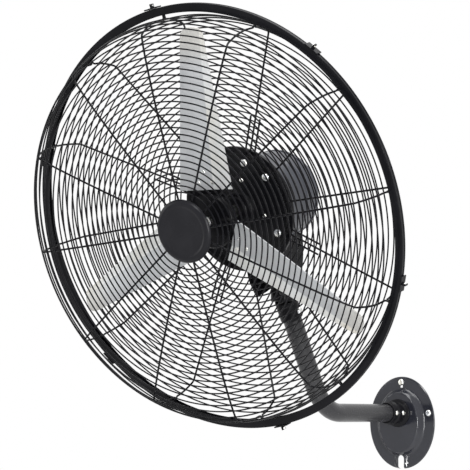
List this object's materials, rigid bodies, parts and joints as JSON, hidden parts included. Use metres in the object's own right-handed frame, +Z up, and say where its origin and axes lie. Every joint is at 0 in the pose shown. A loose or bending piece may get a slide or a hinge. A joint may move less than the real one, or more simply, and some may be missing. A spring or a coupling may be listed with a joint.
{
  "type": "wall mounted fan",
  "caption": "Wall mounted fan: oval wall plate, bent tubular arm, swivel and tilt neck, enclosed motor, bladed rotor and a round welded wire cage with a hoop, clips and hub cap.",
  "frame": {"origin": "centre of the oval wall plate, on its back face, in the plane of the wall", "axes": "+Z up, +Y out of the plate's back into the wall, so the fan stands out along -Y, and +X to the right as seen from the front"},
  "size_m": [0.828, 0.8832, 0.8873],
  "materials": {
    "black_enamel": "gloss black enamel",
    "tube_enamel": "satin dark grey enamel",
    "motor_enamel": "satin dark grey enamel",
    "cage_enamel": "satin black enamel on steel wire",
    "blade_aluminium": "satin sheet",
    "zinc": "bright zinc plate",
    "steel": "bare machined steel",
    "copper": "varnished winding wire",
    "black_plastic": "matt moulded plastic",
    "cap_plastic": "satin moulded plastic"
  },
  "bodies": {
    "wall_bracket": {"wall_plate": "black_enamel", "wall_screw_top": "zinc", "wall_screw_right": "zinc", "wall_screw_left": "zinc", "arm_collar": "black_enamel", "arm_tube": "tube_enamel", "neck_socket": "black_enamel", "collar_screw_1": "zinc", "collar_screw_2": "zinc", "neck_bolt": "zinc"},
    "swivel": {"swivel_knuckle": "black_enamel", "swivel_stud": "zinc"},
    "head": {"tilt_bracket": "black_enamel", "tilt_bolt": "zinc", "tilt_knob": "black_plastic", "motor_flange": "black_enamel", "motor_shell": "motor_enamel", "motor_rear_bell": "motor_enamel", "stator_core": "steel", "winding_front": "copper", "winding_rear": "copper", "bearing_front": "steel", "bearing_rear": "steel", "flange_screw_1": "zinc", "flange_screw_2": "zinc", "flange_screw_3": "zinc", "flange_screw_4": "zinc", "capacitor_box": "black_plastic", "capacitor": "black_plastic", "capacitor_box_lid": "black_plastic", "cable_gland": "black_plastic", "lid_screw_1": "zinc", "lid_screw_2": "zinc", "front_guard": "cage_enamel", "rear_guard": "cage_enamel", "guard_band": "cage_enamel", "band_clip_1": "cage_enamel", "band_clip_2": "cage_enamel", "band_clip_3": "cage_enamel", "band_clip_4": "cage_enamel", "band_clip_5": "cage_enamel", "band_clip_6": "cage_enamel", "clip_screw_1": "zinc", "clip_screw_2": "zinc", "clip_screw_3": "zinc", "clip_screw_4": "zinc", "clip_screw_5": "zinc", "clip_screw_6": "zinc", "hub_cap": "cap_plastic", "cap_plate": "black_enamel"},
    "rotor": {"motor_shaft": "steel", "rotor_core": "steel", "blade_hub": "black_enamel", "hub_nut": "zinc", "blade_1": "blade_aluminium", "blade_2": "blade_aluminium", "blade_3": "blade_aluminium"}
  },
  "joints": [
    {"name": "head_swivel", "type": "hinge", "parent": "wall_bracket", "child": "swivel", "pos_m": [0, -0.458, 0.262], "axis": [0, 0, 1], "range_deg": [-45, 45]},
    {"name": "head_tilt", "type": "hinge", "parent": "swivel", "child": "head", "pos_m": [0, -0.458, 0.292], "axis": [-1, 0, 0], "range_deg": [-20, 35]},
    {"name": "rotor_spin", "type": "hinge", "parent": "head", "child": "rotor", "pos_m": [0, -0.78, 0.356], "axis": [0, 0.9521, 0.3057], "continuous": true}
  ]
}
